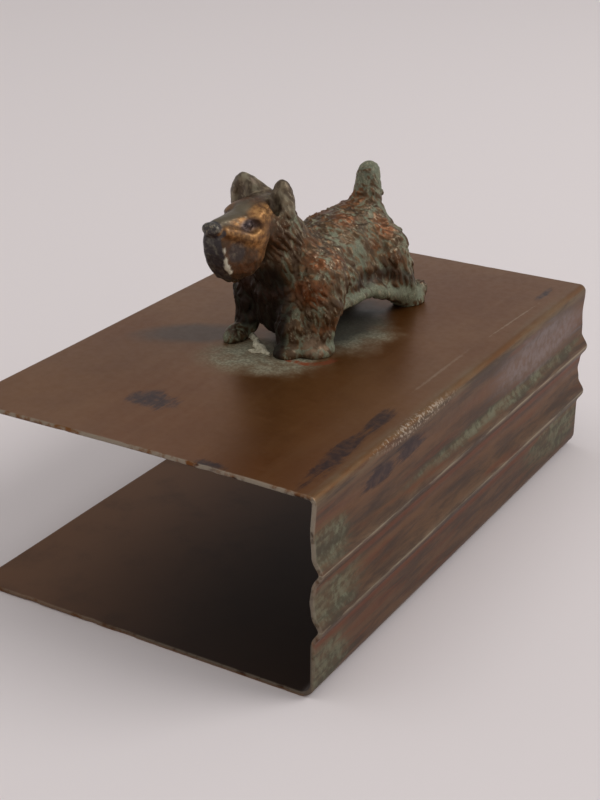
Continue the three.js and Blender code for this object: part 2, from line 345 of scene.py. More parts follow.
def cover_paint(points, worn):
    """Where the cover's finish has changed, each from 0 to 1."""
    x, _, z = points.T
    on_top = smooth(TOP_Z - 1.2, TOP_Z - 0.2, z)
    outside = smooth(SPINE_X - 0.5, SPINE_X - 0.1, x) * (1 - on_top)
    past_x, past_z = x - SPINE_X, z - TOP_Z
    fold = smooth(4.5, 1.0, np.hypot(past_x, past_z)) * smooth(-0.5, 1.5, past_x + past_z + 3)
    inside = (z < TOP_Z - 0.45) & (z > 0.45) & (x < SPINE_X - 0.45)
    crests = [np.exp(-(((z - level) / 0.7) ** 2)) for level in BEAD_LEVELS]
    feet = [np.exp(-(((z - level + BEAD_WIDTH / 2) / 0.8) ** 2)) for level in BEAD_LEVELS]
    return {
        "worn": worn,
        "fold": fold,
        "spine": outside,
        "bead": np.max(crests, axis=0) * outside,
        "under_bead": np.max(feet, axis=0) * outside,
        "inside": inside.astype(float),
    }


def hole_cutter(node):
    """A round cutter through the upper leaf where a screw passes."""
    x, y, _ = centre_mm(node)
    bpy.ops.mesh.primitive_cylinder_add(
        vertices=HOLE_SIDES,
        radius=HOLE_RADIUS * MM,
        depth=4 * SHEET * MM,
        location=(x * MM, y * MM, TOP_Z * MM),
    )
    return bpy.context.object


def build_cover():
    points, faces, worn = cover_mesh()
    cover = make_piece("bronze_cover", points, faces, cover_paint(points, worn))
    cut(cover, [hole_cutter("front_screw"), hole_cutter("rear_screw")])
    cover.data.polygons.foreach_set("use_smooth", np.full(len(cover.data.polygons), True))
    return cover


# ------------------------------------------------------------------ implicit forms for the casting
# A form is a function of points (x, y, z): negative inside, roughly the distance outside.
def turned(p, centre, yaw, pitch, roll):
    """Points relative to a centre, in axes turned about Z, then X, then Y, in degrees."""
    x, y, z = (v - c for v, c in zip(p, centre))
    if yaw:
        c, s = math.cos(math.radians(yaw)), math.sin(math.radians(yaw))
        x, y = c * x + s * y, c * y - s * x
    if pitch:
        c, s = math.cos(math.radians(pitch)), math.sin(math.radians(pitch))
        y, z = c * y + s * z, c * z - s * y
    if roll:
        c, s = math.cos(math.radians(roll)), math.sin(math.radians(roll))
        x, z = c * x + s * z, c * z - s * x
    return x, y, z


def egg(p, centre, radii, yaw=0, pitch=0, roll=0):
    """An ellipsoid."""
    x, y, z = turned(p, centre, yaw, pitch, roll)
    a, b, c = radii
    near = np.sqrt((x / a) ** 2 + (y / b) ** 2 + (z / c) ** 2)
    steepness = np.sqrt((x / a**2) ** 2 + (y / b**2) ** 2 + (z / c**2) ** 2) + 1e-6
    return near * (near - 1) / steepness


def limb(p, start, end, start_radius, end_radius):
    """A round bar between two balls."""
    start, end = np.array(start, float), np.array(end, float)
    along = end - start
    x, y, z = (v - s for v, s in zip(p, start))
    share = np.clip((x * along[0] + y * along[1] + z * along[2]) / (along @ along), 0, 1)
    radius = start_radius + (end_radius - start_radius) * share
    away = [v - a * share for v, a in zip((x, y, z), along)]
    return np.sqrt(away[0] ** 2 + away[1] ** 2 + away[2] ** 2) - radius


def joined(a, b, blend):
    """Both forms, with their crease filled over a width of blend."""
    share = np.clip(0.5 + 0.5 * (b - a) / blend, 0, 1)
    return b + (a - b) * share - blend * share * (1 - share)


def without(a, b, blend):
    """Form a with form b taken out of it."""
    return -joined(-a, b, blend)


def grown(p, f, blend, centre, radii, **turns):
    """A form with an ellipsoid joined to it."""
    return joined(f, egg(p, centre, radii, **turns), blend)


SIDES = (1, -1)  # the dog's left, which faces +X, and its right


def trunk(p):
    f = egg(p, (0, 1.5, 14.2), (9.6, 10.0, 9.0))
    f = grown(p, f, 2.6, (0, 13, 15.3), (8.8, 13.6, 9.1))
    f = grown(p, f, 3.0, (0, 23.0, 14.8), (8.0, 9.6, 10.0))
    f = grown(p, f, 2.5, (0, -5.0, 13.5), (6.6, 5.0, 8.6))
    f = joined(f, limb(p, (0, -1.5, 16.0), (0, -8.0, 25.2), 7.8, 5.8), 1.8)
    return joined(f, limb(p, (0, 26.4, 20), (0, 27.4, 30.0), 4.3, 2.6), 1.4)


def coat_edge(p, f, side):
    """The long coat along a flank: a hollow, then a rolled lower edge that runs down into the rear foot."""
    f = grown(p, f, 2.0, (side * 6.6, 9, 11.6), (3.4, 12, 4.6))
    f = grown(p, f, 2.0, (side * 7.0, 22, 8.6), (3.0, 10, 4.0), pitch=-14)
    f = without(f, limb(p, (side * 11.6, 11, 11.6), (side * 11.2, 30, 7.6), 2.2, 2.2), 1.2)
    f = joined(f, limb(p, (side * 9.6, -1, 8.2), (side * 9.2, 14, 8.2), 1.2, 1.4), 0.9)
    return joined(f, limb(p, (side * 9.2, 14, 8.2), (side * 9.4, 28, 3.4), 1.4, 1.9), 0.9)


def front_leg(p, f, side):
    if side > 0:
        f = joined(f, limb(p, (7.4, -1.0, 15), (8.0, -5.0, 2.5), 5.0, 3.9), 1.6)
        f = grown(p, f, 1.2, (4.4, -6.8, 4.6), (4.0, 4.6, 7.0))
        f = grown(p, f, 1.2, (-1.5, -3.6, 7.6), (6.0, 4.4, 6.4))
    else:
        f = joined(f, limb(p, (-8.2, -1.0, 15), (-9.4, -5.4, 2.5), 4.6, 2.6), 1.4)
    f = grown(p, f, 2.6, (side * 7.7, -2.8, 15.0), (4.3, 6.0, 6.4), roll=side * 12)
    f = grown(p, f, 0.7, (side * 9.2, -3.6, 9.2), (3.8, 4.4, 5.0), roll=side * -12)
    if side > 0:
        f = grown(p, f, 0.7, (8.2, -5.6, 0.8), (4.6, 4.6, 2.6))
        return grown(p, f, 0.6, (5.0, -9.6, 0.6), (3.1, 3.9, 2.4), yaw=-8)
    return grown(p, f, 0.6, (-9.6, -8.6, 0.9), (2.3, 4.2, 2.3), yaw=6)


def rear_leg(p, f, side):
    f = joined(f, limb(p, (side * 6.0, 24, 14), (side * 8.2, 29.5, 3.5), 6.0, 3.6), 2.0)
    f = grown(p, f, 1.4, (side * 8.7, 35.8, 2.2), (2.2, 2.2, 2.0))
    if side > 0:
        return grown(p, f, 1.0, (8.6, 32.6, 0.5), (3.2, 3.9, 3.0))
    return grown(p, f, 1.0, (-8.6, 31.6, 0.5), (3.2, 4.8, 2.8))


# The muzzle from the beard's tip up to the bridge: height, front, back, and half its width at the cheeks.
MUZZLE_LEVELS = np.array([
    (19.1, -24.4, -21.6, 1.0),
    (20.1, -25.5, -19.4, 3.1),
    (21.5, -26.6, -17.8, 4.1),
    (23.5, -27.8, -17.0, 4.7),
    (26.0, -28.7, -16.8, 4.8),
    (28.2, -29.1, -16.4, 4.5),
    (30.2, -29.2, -15.8, 3.7),
    (31.4, -29.0, -15.0, 3.0),
    (32.2, -28.4, -15.0, 2.2),
    (32.8, -27.0, -15.0, 1.2),
])
MUZZLE_CORNER = 1.3
MUZZLE_TAPER = 0.42  # how much narrower the front face is than the cheeks


def muzzle(p):
    """A deep square muzzle whose beard runs down and back from the nose."""
    x, y, z = p
    heights = MUZZLE_LEVELS[:, 0]
    front, back, half = (np.interp(z, heights, MUZZLE_LEVELS[:, k]) for k in (1, 2, 3))
    width = half * (1 - MUZZLE_TAPER * smooth(-20, -28, y))
    corner = np.minimum(MUZZLE_CORNER, 0.8 * width)
    across = np.abs(x) - width + corner
    along = np.abs(y - (front + back) / 2) - (back - front) / 2 + corner
    within = np.minimum(np.maximum(across, along), 0)
    walls = np.hypot(np.maximum(across, 0), np.maximum(along, 0)) + within - corner
    ends = np.maximum(z - heights[-1], heights[0] - z)
    block = 0.75 * without(walls, -ends, 0.6)
    return joined(block, egg(p, (0, -28.8, 31.2), (2.1, 1.3, 1.4)), 0.5)


def ear(p, f, side):
    if side > 0:
        outer = egg(p, (4.1, -10.7, 32.2), (2.6, 2.1, 5.5), yaw=8, roll=3)
        hollow = egg(p, (3.9, -13.5, 33.2), (1.4, 1.1, 3.0), yaw=-4, roll=3)
    else:
        outer = egg(p, (-5.8, -10.8, 32.7), (3.3, 1.9, 5.0), yaw=-8, roll=-8)
        outer = joined(outer, limb(p, (-4.4, -10.0, 35.6), (0, -9.0, 32.4), 1.3, 1.8), 0.8)
        hollow = egg(p, (-5.2, -12.9, 34.0), (1.6, 1.1, 2.8), yaw=-8, roll=-8)
    return without(joined(f, outer, 0.7), hollow, 0.5)


def head(p, f):
    f = grown(p, f, 2.0, (0, -8.8, 21.0), (4.8, 5.4, 6.4))
    f = grown(p, f, 1.6, (0, -11.6, 28.6), (5.8, 6.4, 5.8))
    f = joined(f, muzzle(p), 0.9)
    f = grown(p, f, 1.4, (0, -15.6, 30.8), (4.6, 4.6, 3.5))
    for side in SIDES:
        f = joined(f, limb(p, (side * 2.1, -27.0, 30.6), (side * 3.9, -21.0, 28.2), 0.9, 1.3), 1.1)
        f = grown(p, f, 1.1, (side * 2.9, -18.2, 31.9), (1.6, 2.2, 1.0), pitch=20)
        f = grown(p, f, 1.4, (side * 3.6, -18.0, 28.4), (1.5, 2.2, 3.0))
        f = ear(p, f, side)
        f = without(f, egg(p, (side * 4.5, -21.2, 30.8), (1.6, 2.3, 1.4), pitch=-12), 0.6)
        f = grown(p, f, 0.5, (side * 3.0, -21.2, 30.6), (0.8, 1.2, 0.8))
    return f


def lean(z):
    """How far back the hair at a height grows from, in millimetres: more and more with height."""
    return 0.1 * z + 0.017 * z * z


def coat_relief(p):
    """Locks of hair that hang down and lean back, as a height in units of about a millimetre."""
    x, y, z = p
    sway_x = 1.1 * (noise(x / 5, y / 5, z / 6, 11) - 0.5)
    sway_y = 1.6 * (noise(x / 5, y / 5, z / 6, 12) - 0.5)
    across, back = x + sway_x, y + lean(z) + sway_y
    locks = ridged(noise(across / 2.3, back / 2.3, z / 7.5, 1)) ** 0.8
    strands = ridged(noise(across / 1.3, back / 1.3, z / 4.5, 2))
    lumps = noise(x / 6, (y + 0.4 * z) / 6, z / 9, 5)
    return 0.75 * (locks - 0.55) + 0.22 * (strands - 0.5) + 0.5 * (lumps - 0.5)


COAT_DEPTH = 0.62
# Places along the dog, and the heights there of the coat's lower edge and of the hollow above it, where
# shade is painted.
HEM_HEIGHTS = ((-1, 14, 28, 32), (8.0, 8.0, 3.4, 3.0))
BAND_HEIGHTS = ((9, 20, 30), (11.4, 10.7, 6.9))


def hem_band(y, z):
    """1 on the coat's rolled lower edge, 0 away from it."""
    height = np.interp(y, *HEM_HEIGHTS)
    return smooth(2.4, 0.8, np.abs(z - height)) * smooth(0, 3, y) * smooth(36, 32, y)


def coat_depth(p):
    """How deep the coat is modelled: less on the face, ears, paws, tail and lower edge."""
    _, y, z = p
    face = np.clip((-y - 12) / 4, 0, 1) * np.clip((z - 19) / 3, 0, 1)
    ears = np.clip((z - 30) / 2, 0, 1) * np.clip(-y / 2, 0, 1)
    paws = np.clip((4.2 - z) / 1.5, 0, 1)
    tail = np.clip((z - 26) / 2, 0, 1) * np.clip((y - 20) / 2, 0, 1)
    hem = hem_band(y, z)
    depth = COAT_DEPTH
    for cover, taken in ((face, 0.85), (ears, 0.8), (paws, 0.75), (tail, 0.7), (hem, 0.65)):
        depth = depth * (1 - taken * cover)
    return depth


def terrier(p):
    """The whole casting, with its coat, a flat underside and the bores for the two screws."""
    f = trunk(p)
    for side in SIDES:
        f = coat_edge(p, f, side)
        f = front_leg(p, f, side)
        f = rear_leg(p, f, side)
    f = head(p, f)
    f = f - coat_depth(p) * coat_relief(p)
    below_leaf = p[2] + 0 * p[0] + 0 * p[1]
    f = without(f, below_leaf, 0.05)
    for x, y in (FRONT_FIXING, REAR_FIXING):
        f = without(f, limb(p, (x, y, -2), (x, y, BORE_DEPTH - BORE_RADIUS), BORE_RADIUS, BORE_RADIUS), 0.05)
    return f


# ------------------------------------------------------------------ from a form to a mesh
def open_grid(low, high, step):
    """The x, y and z of a grid of points, each along its own axis."""
    x, y, z = (np.arange(start, end, step) for start, end in zip(low, high))
    return x[:, None, None], y[None, :, None], z[None, None, :]


def crossings(values, axis):
    """Which grid edges along an axis cross the zero surface, and how far along each edge it is crossed."""
    here = [slice(None)] * 3
    there = [slice(None)] * 3
    here[axis], there[axis] = slice(None, -1), slice(1, None)
    a, b = values[tuple(here)], values[tuple(there)]
    crosses = (a < 0) != (b < 0)
    share = np.where(crosses, a / np.where(crosses, a - b, 1), 0).astype(np.float32)
    return crosses, share


def net_surface(values, low, step):
    """Points and quads of the zero surface of a grid of values, one point in each cell that it passes."""
    cells = tuple(n - 1 for n in values.shape)
    count = np.zeros(cells, np.float32)
    offset = np.zeros((3, *cells), np.float32)
    edges = []
    for axis in range(3):
        crosses, share = crossings(values, axis)
        edges.append(crosses)
        u, v = [k for k in range(3) if k != axis]
        for du in (0, 1):
            for dv in (0, 1):
                part = [slice(None)] * 3
                part[u] = slice(du, du + cells[u])
                part[v] = slice(dv, dv + cells[v])
                hit = crosses[tuple(part)]
                count += hit
                offset[axis] += share[tuple(part)]
                offset[u] += hit * np.float32(du)
                offset[v] += hit * np.float32(dv)
    used = count > 0
    index = np.full(cells, -1, np.int64)
    index[used] = np.arange(used.sum())
    where = np.argwhere(used)
    points = low + step * (where + (offset[:, used] / count[used]).T)

    quads = []
    for axis in range(3):
        u, v = [(1, 2), (2, 0), (0, 1)][axis]
        place = np.argwhere(edges[axis])
        place = place[(place[:, u] > 0) & (place[:, v] > 0)]
        place = place[(place[:, u] < cells[u]) & (place[:, v] < cells[v])]
        corners = []
        for du, dv in ((1, 1), (0, 1), (0, 0), (1, 0)):
            cell = place.copy()
            cell[:, u] -= du
            cell[:, v] -= dv
            corners.append(index[tuple(cell.T)])
        quad = np.stack(corners, 1)
        leaving = values[tuple(place.T)] < 0
        quad[~leaving] = quad[~leaving][:, ::-1]
        quads.append(quad)
    return points, np.concatenate(quads)


def slope(form, points, reach=0.05):
    """The form's value and its gradient at each point."""
    value = form(tuple(points.T))
    gradient = np.empty_like(points)
    for axis in range(3):
        moved = points.copy()
        moved[:, axis] += reach
        gradient[:, axis] = (form(tuple(moved.T)) - value) / reach
    return value, gradient


DOG_LOW = np.array([-17.0, -31.0, -1.2])
DOG_HIGH = np.array([17.0, 40.0, 40.5])
DOG_STEP = 0.34
LOCK_WIDTH = 1.75
LOCK_LENGTH = 5.4
LOCK_HEIGHT = 0.6
LOCK_LEVEL = 0.45  # the share of a lock's height at which it meets the smooth form
STREAK_HEIGHT = 0.18


def lock_relief(points, normals):
    """Overlapping locks of hair as a height from 0 to 1, and the grooves between them, 1 in a groove."""
    x, y, z = points.T
    sway = 2.2 * (noise(x / 7, y / 7, z / 7, 21) - 0.5) + 1.3 * (noise(x / 2.1, y / 2.1, z / 2.6, 29) - 0.5)
    hanging = cells((x + sway) / LOCK_WIDTH, (y + lean(z) + sway) / LOCK_WIDTH, z / LOCK_LENGTH, 22)
    along_back = cells((x + sway) / LOCK_WIDTH, z / LOCK_WIDTH, -(y + sway) / LOCK_LENGTH, 25)
    on_back = smooth(0.9, 0.98, normals[:, 2]) * smooth(15, 19, z)
    border, drop = (h + (b - h) * on_back for h, b in zip(hanging, along_back))
    body = smooth(0.0, 0.42, border)
    strands = ridged(noise((x + 0.6 * sway) / 0.75, (y + lean(z)) / 0.75, z / 3.6, 28))
    relief = body * (0.62 + 0.6 * np.clip(drop, -0.6, 0.6)) + 0.14 * (strands - 0.5)
    return relief, 1 - smooth(0.04, 0.34, border)


def settle(form, points, step, times=2):
    """Moves points that lie near a form's surface onto it, and gives the normals there."""
    for _ in range(times):
        value, gradient = slope(form, points)
        length = (gradient**2).sum(1)
        move = np.clip(value / np.maximum(length, 0.2), -0.5 * step, 0.5 * step)
        points = points - gradient * move[:, None]
    _, gradient = slope(form, points)
    return points, gradient / np.maximum(np.linalg.norm(gradient, axis=1, keepdims=True), 1e-6)


def dog_points():
    """The casting's raised points, its smooth points, normals, quads and grooves in the dog's own frame."""
    step = DOG_STEP
    points, quads = net_surface(terrier(open_grid(DOG_LOW, DOG_HIGH, step)), DOG_LOW, step)
    points, normals = settle(terrier, points, step)
    locks, grooves = lock_relief(points, normals)
    depth = coat_depth(tuple(points.T)) * smooth(0.1, 1.0, points[:, 2])
    rise = LOCK_HEIGHT * depth / COAT_DEPTH * (locks - LOCK_LEVEL)
    raised = points + normals * rise[:, None]
    raised = raised + normals * (STREAK_HEIGHT * streak(points))[:, None]
    return raised, points, normals, quads, grooves


def streak(points):
    """Where pale residue runs down the near front edge of the muzzle, from 0 to 1."""
    x, y, z = points.T
    away = limb((x, y, z), (2.9, -28.7, 28.4), (2.8, -27.0, 22.0), 0.0, 0.45)
    return smooth(0.3, 0.05, away + 0.9 * (noise(x / 0.9, y / 0.9, z / 1.3, 41) - 0.5)) * smooth(21, 22, z)


def openness(points, normals, reach):
    """1 where nothing stands within reach of the surface, and less in grooves and corners."""
    ahead = points + normals * reach
    return np.clip(terrier(tuple(ahead.T)) / reach, 0, 1)


def patch(points, centre, radii):
    """1 at a centre, falling to 0 at an ellipsoid's edge."""
    away = np.linalg.norm((points - np.array(centre)) / np.array(radii), axis=1)
    return smooth(1, 0.45, away)


def dog_paint(points, normals, grooves):
    """Where the casting's finish differs, and where shade and highlights are painted onto it, each from 0 to
    1.
    """
    x, y, z = points.T
    side = np.column_stack([np.abs(x), y, z])
    uneven = 4.0 * (noise(x / 2.2, y / 2.2, z / 2.2, 31) - 0.5)
    face = smooth(-9.5, -15.5, y + uneven) * smooth(17, 22, z + uneven)
    ridge = limb(side.T, (2.2, -28.0, 30.8), (4.6, -20.0, 28.0), 0.4, 1.2)
    # Rubbed gold bronze on brows, cheek ridge and cheeks, partly painted highlight: fuller on the dog's left
    # side, which faces the light.
    rubbed_gold_and_highlight = [
        smooth(1.6, 0.3, ridge),
        0.6 * patch(side, (4.8, -18.2, 26.2), (2.6, 2.8, 6.4)),
        patch(side, (3.6, -17.2, 32.2), (3.2, 4.2, 2.6)),
        patch(side, (2.6, -23.4, 32.0), (1.5, 3.6, 1.2)),
    ]
    lit_near_side = 0.35 * smooth(-0.9, -1.8, x) + smooth(0.9, 1.8, x)
    # Painted shade on the muzzle's front faces, which face away from the light.
    front = smooth(0.35, 0.75, -normals[:, 1]) * smooth(-24.0, -25.5, y)
    nose = patch(points, (0, -29.0, 31.6), (3.4, 2.6, 2.2))
    snout_side = patch(side, (3.8, -25.4, 26.4), (2.6, 3.6, 3.6))
    bridge = smooth(0.35, 0.8, normals[:, 2]) * smooth(2.4, 1.2, np.abs(x)) * smooth(-16, -19, y)
    # Painted shade on the front of the chest and between the legs.
    chest_shade = smooth(0.0, 0.5, -normals[:, 1]) * smooth(1, -5, y) * smooth(22, 18, z) * smooth(5.5, 3.0, x)
    between_legs_shade = smooth(6.5, 4.5, np.abs(x)) * smooth(14, 8, z) * smooth(2, -3, y)
    # Painted shade in the hollow above the coat's lower edge.
    hem_hollow_shade = smooth(2.3, 0.5, np.abs(z - np.interp(y, *BAND_HEIGHTS))) * smooth(5, 9, y) * smooth(34, 30, y)
    rust = [
        patch(side, (7.0, 22.5, 19.5), (4, 4.0, 6)),
        patch(side, (9.0, -8.0, 14.0), (6, 5.0, 4)),
        patch(side, (8.0, -5.5, 19.5), (5, 3.0, 3)),
        patch(side, (3.5, 13.0, 24.0), (4, 4.5, 3)),
    ]
    # Painted highlight on the near front leg's lower part.
    painted_leg_highlight = np.maximum(
        patch(points, (10.5, -8.6, 2.2), (3.4, 2.4, 3.6)),
        patch(points, (11, -2.2, 8.5), (3, 2.0, 4.5)),
    )
    return {
        "groove": grooves,
        "bold": openness(points, normals, 0.8),
        "broad": openness(points, normals, 3.5),
        "face": face,
        "dark_nose_and_front_shade": np.maximum.reduce([front * face, nose, 0.6 * snout_side]),
        "bridge": bridge * face,
        "rubbed_gold_and_highlight": np.max(rubbed_gold_and_highlight, axis=0) * face * lit_near_side,
        "eye": patch(side, (3.9, -21.3, 30.8), (2.4, 3.4, 1.9)),
        "ears": smooth(30.0, 32.5, z) * smooth(-5, -7, y) * smooth(-15, -12.6, y),
        "chest_shade": np.maximum(chest_shade * smooth(1.5, 3.5, z), between_legs_shade),
        "rear": 0.55 * smooth(12, 28, y) + 0.45 * smooth(30, 34, y),
        "hem": hem_band(y, z),
        "hem_hollow_shade": hem_hollow_shade,
        "tail": smooth(25, 28, z) * smooth(20, 24, y),
        "clean": np.max(rust, axis=0),
        "heel": patch(side, (9.0, 37.0, 2.8), (5, 3.4, 4.2)),
        "painted_leg_highlight": painted_leg_highlight,
        "toe": patch(points, (11.4, -4.2, 2.6), (3.0, 2.6, 3.0)),
        "streak": streak(points),
    }


def build_dog():
    raised, points, normals, quads, grooves = dog_points()
    paint = dog_paint(points, normals, grooves)
    placed = np.column_stack([raised[:, :2] @ DOG_TURN.T + DOG_ORIGIN, raised[:, 2] + TOP_Z])
    return make_piece("bronze_terrier", placed, quads, paint)


# ------------------------------------------------------------------ residue on the plate
RESIDUE_LOW = np.array([-16.0, -18.0, -0.4])
RESIDUE_HIGH = np.array([2.0, 2.0, 2.2])
RESIDUE_STEP = 0.16
RESIDUE_PATH = ((-12.4, -3.4), (-10.6, -5.6), (-8.2, -7.4), (-6.6, -9.6), (-4.8, -11.2), (-2.2, -12.4))
RESIDUE_WIDTHS = (0.45, 0.75, 0.6, 0.85, 1.1, 0.5)


def residue(p):
    """A dribble of old plaster on the upper leaf, beside the right front paw."""
    steps = list(zip(RESIDUE_PATH, RESIDUE_WIDTHS))
    f = None
    for ((x0, y0), w0), ((x1, y1), w1) in zip(steps, steps[1:]):
        part = limb(p, (x0, y0, 0.05), (x1, y1, 0.05), w0, w1)
        f = part if f is None else joined(f, part, 0.4)
    f = grown(p, f, 0.4, (-5.6, -12.6, 0), (1.3, 0.7, 0.6))
    return f - 0.35 * (noise(p[0] / 0.9, p[1] / 0.9, p[2] / 0.9, 51) - 0.5)


def build_residue():
    values = residue(open_grid(RESIDUE_LOW, RESIDUE_HIGH, RESIDUE_STEP))
    points, quads = net_surface(values, RESIDUE_LOW, RESIDUE_STEP)
    points, _ = settle(residue, points, RESIDUE_STEP)
    return make_piece("plaster_residue", points + np.array([0, 0, TOP_Z]), quads)


# ------------------------------------------------------------------ fixings
HEAD_RADIUS = 2.7
HEAD_HEIGHT = 1.9
SHANK_RADIUS = 1.42
TIP_CHAMFER = 0.4
DRIVE_WIDTH = 0.7
DRIVE_DEPTH = 0.9
WASHER_RADIUS = 3.6
WASHER_HOLE = 1.62
ROUND_SIDES = 64


def lathed(name, profile, x, y, z):
    """A closed turned piece from (radius, height) points that start and end on the axis or close a ring."""
    profile = np.array(profile, float)
    turn = np.linspace(0, 2 * math.pi, ROUND_SIDES, endpoint=False)
    radius = profile[:, :1]
    points = np.stack([
        x + radius * np.cos(turn)[None, :],
        y + radius * np.sin(turn)[None, :],
        z + np.repeat(profile[:, 1:], ROUND_SIDES, 1),
    ], -1).reshape(-1, 3)
    piece = make_piece(name, points, grid_faces(len(profile), ROUND_SIDES, wrap=True))
    weld = piece.modifiers.new("weld", "WELD")
    weld.merge_threshold = 0.002 * MM
    apply_modifiers(piece)
    return piece


def build_screw(node, name):
    """A round-head screw, its head down and its slot cut across the dome."""
    low, high = box_mm(node)
    x, y, _ = (low + high) / 2
    bearing = low[2] + HEAD_HEIGHT
    tip = high[2]
    angles = np.linspace(0, math.pi / 2, 14)
    dome = [(HEAD_RADIUS * math.sin(a), low[2] + HEAD_HEIGHT * (1 - math.cos(a) ** 0.8)) for a in angles]
    rim = [(HEAD_RADIUS, bearing - 0.12), (HEAD_RADIUS - 0.08, bearing)]
    shank = [(SHANK_RADIUS, bearing), (SHANK_RADIUS, tip - TIP_CHAMFER)]
    shank += [(SHANK_RADIUS - TIP_CHAMFER, tip), (0, tip)]
    profile = dome[:-1] + rim + shank
    screw = lathed(name, profile, x, y, 0)
    bpy.ops.mesh.primitive_cube_add(size=1, location=(x * MM, y * MM, low[2] * MM))
    slot = bpy.context.object
    slot.scale = (4 * HEAD_RADIUS * MM, DRIVE_WIDTH * MM, 2 * DRIVE_DEPTH * MM)
    slot.rotation_euler.z = 0.5 + 0.7 * y  # the two slots came to rest at different angles
    bpy.context.view_layer.update()
    cut(screw, [slot])
    return screw


def build_washer(node, name):
    low, high = box_mm(node)
    x, y, _ = (low + high) / 2
    edge = 0.1
    profile = [
        (WASHER_HOLE, low[2] + edge), (WASHER_HOLE + edge, low[2]), (WASHER_RADIUS - edge, low[2]),
        (WASHER_RADIUS, low[2] + edge), (WASHER_RADIUS, high[2] - edge), (WASHER_RADIUS - edge, high[2]),
        (WASHER_HOLE + edge, high[2]), (WASHER_HOLE, high[2] - edge), (WASHER_HOLE, low[2] + edge),
    ]
    return lathed(name, profile, x, y, 0)


